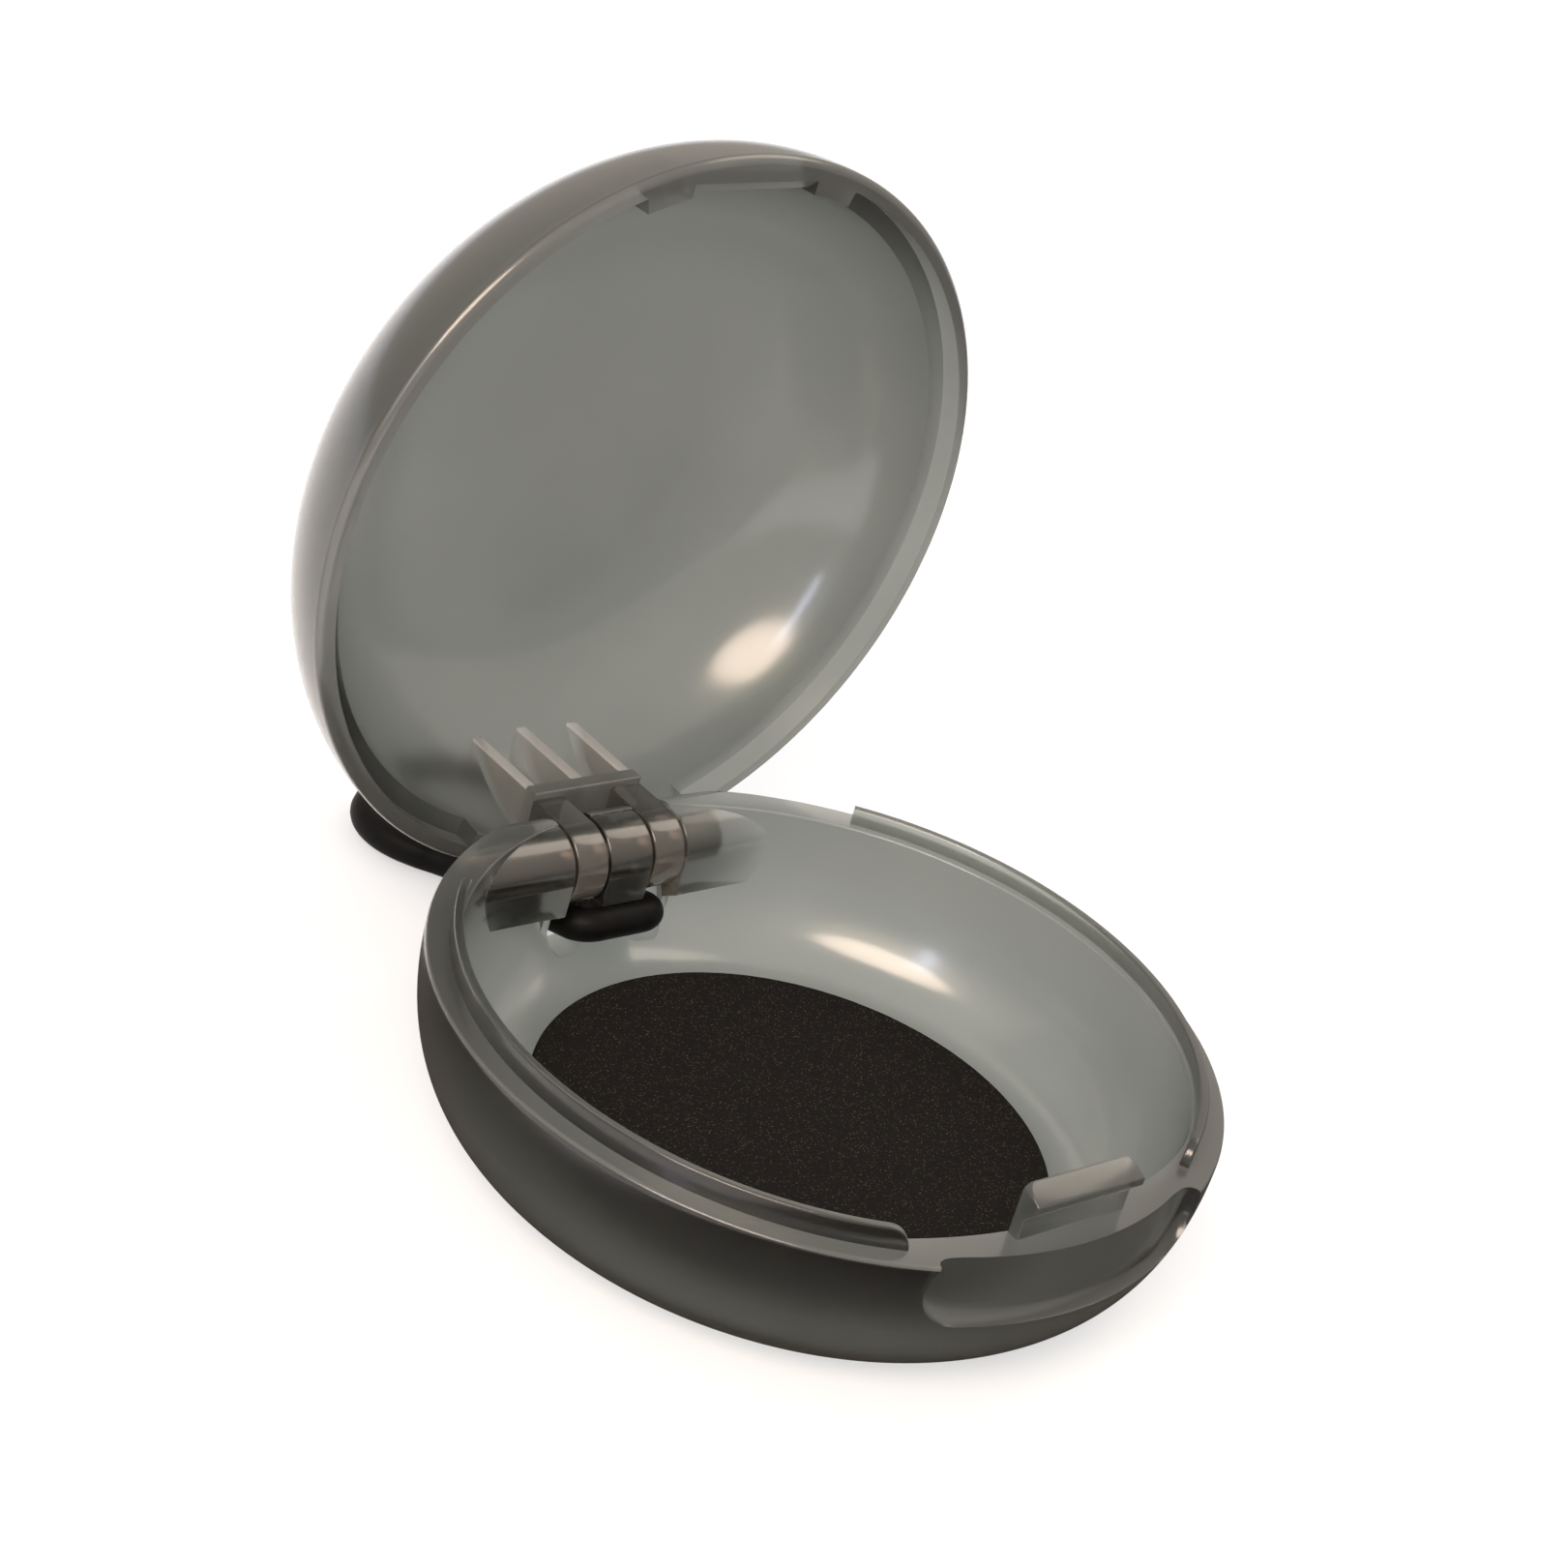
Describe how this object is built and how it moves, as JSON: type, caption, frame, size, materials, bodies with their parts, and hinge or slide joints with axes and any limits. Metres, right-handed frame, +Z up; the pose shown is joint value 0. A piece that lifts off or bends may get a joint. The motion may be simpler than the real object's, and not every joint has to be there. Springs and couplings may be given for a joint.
{
  "type": "earplug case",
  "caption": "Round clamshell pocket case with a hinged lid, a snap latch, a foam pad and a key cord, for a pair of earplugs.",
  "frame": {"origin": "centre of the flat foot of the base", "axes": "+Z up, X along the hinge, -Y towards the latch and +Y towards the hinge and the key cord"},
  "size_m": [0.042, 0.0572, 0.0467],
  "materials": {
    "base_plastic": "moulded, smoked and translucent",
    "lid_plastic": "moulded, smoked and translucent",
    "pin_steel": "ground",
    "pad_foam": "fine open foam",
    "adhesive_film": "matt film",
    "cord_rubber": "satin"
  },
  "bodies": {
    "base": {"base_shell": "base_plastic", "hinge_pin": "pin_steel", "foam_pad": "pad_foam", "pad_adhesive": "adhesive_film", "cord_bridge": "cord_rubber", "cord_loop": "cord_rubber"},
    "lid": {"lid_shell": "lid_plastic"}
  },
  "joints": [
    {"name": "lid_hinge", "type": "hinge", "parent": "base", "child": "lid", "pos_m": [0, 0.0187, 0.00705], "axis": [1, 0, 0], "range_deg": [0, 90]}
  ]
}
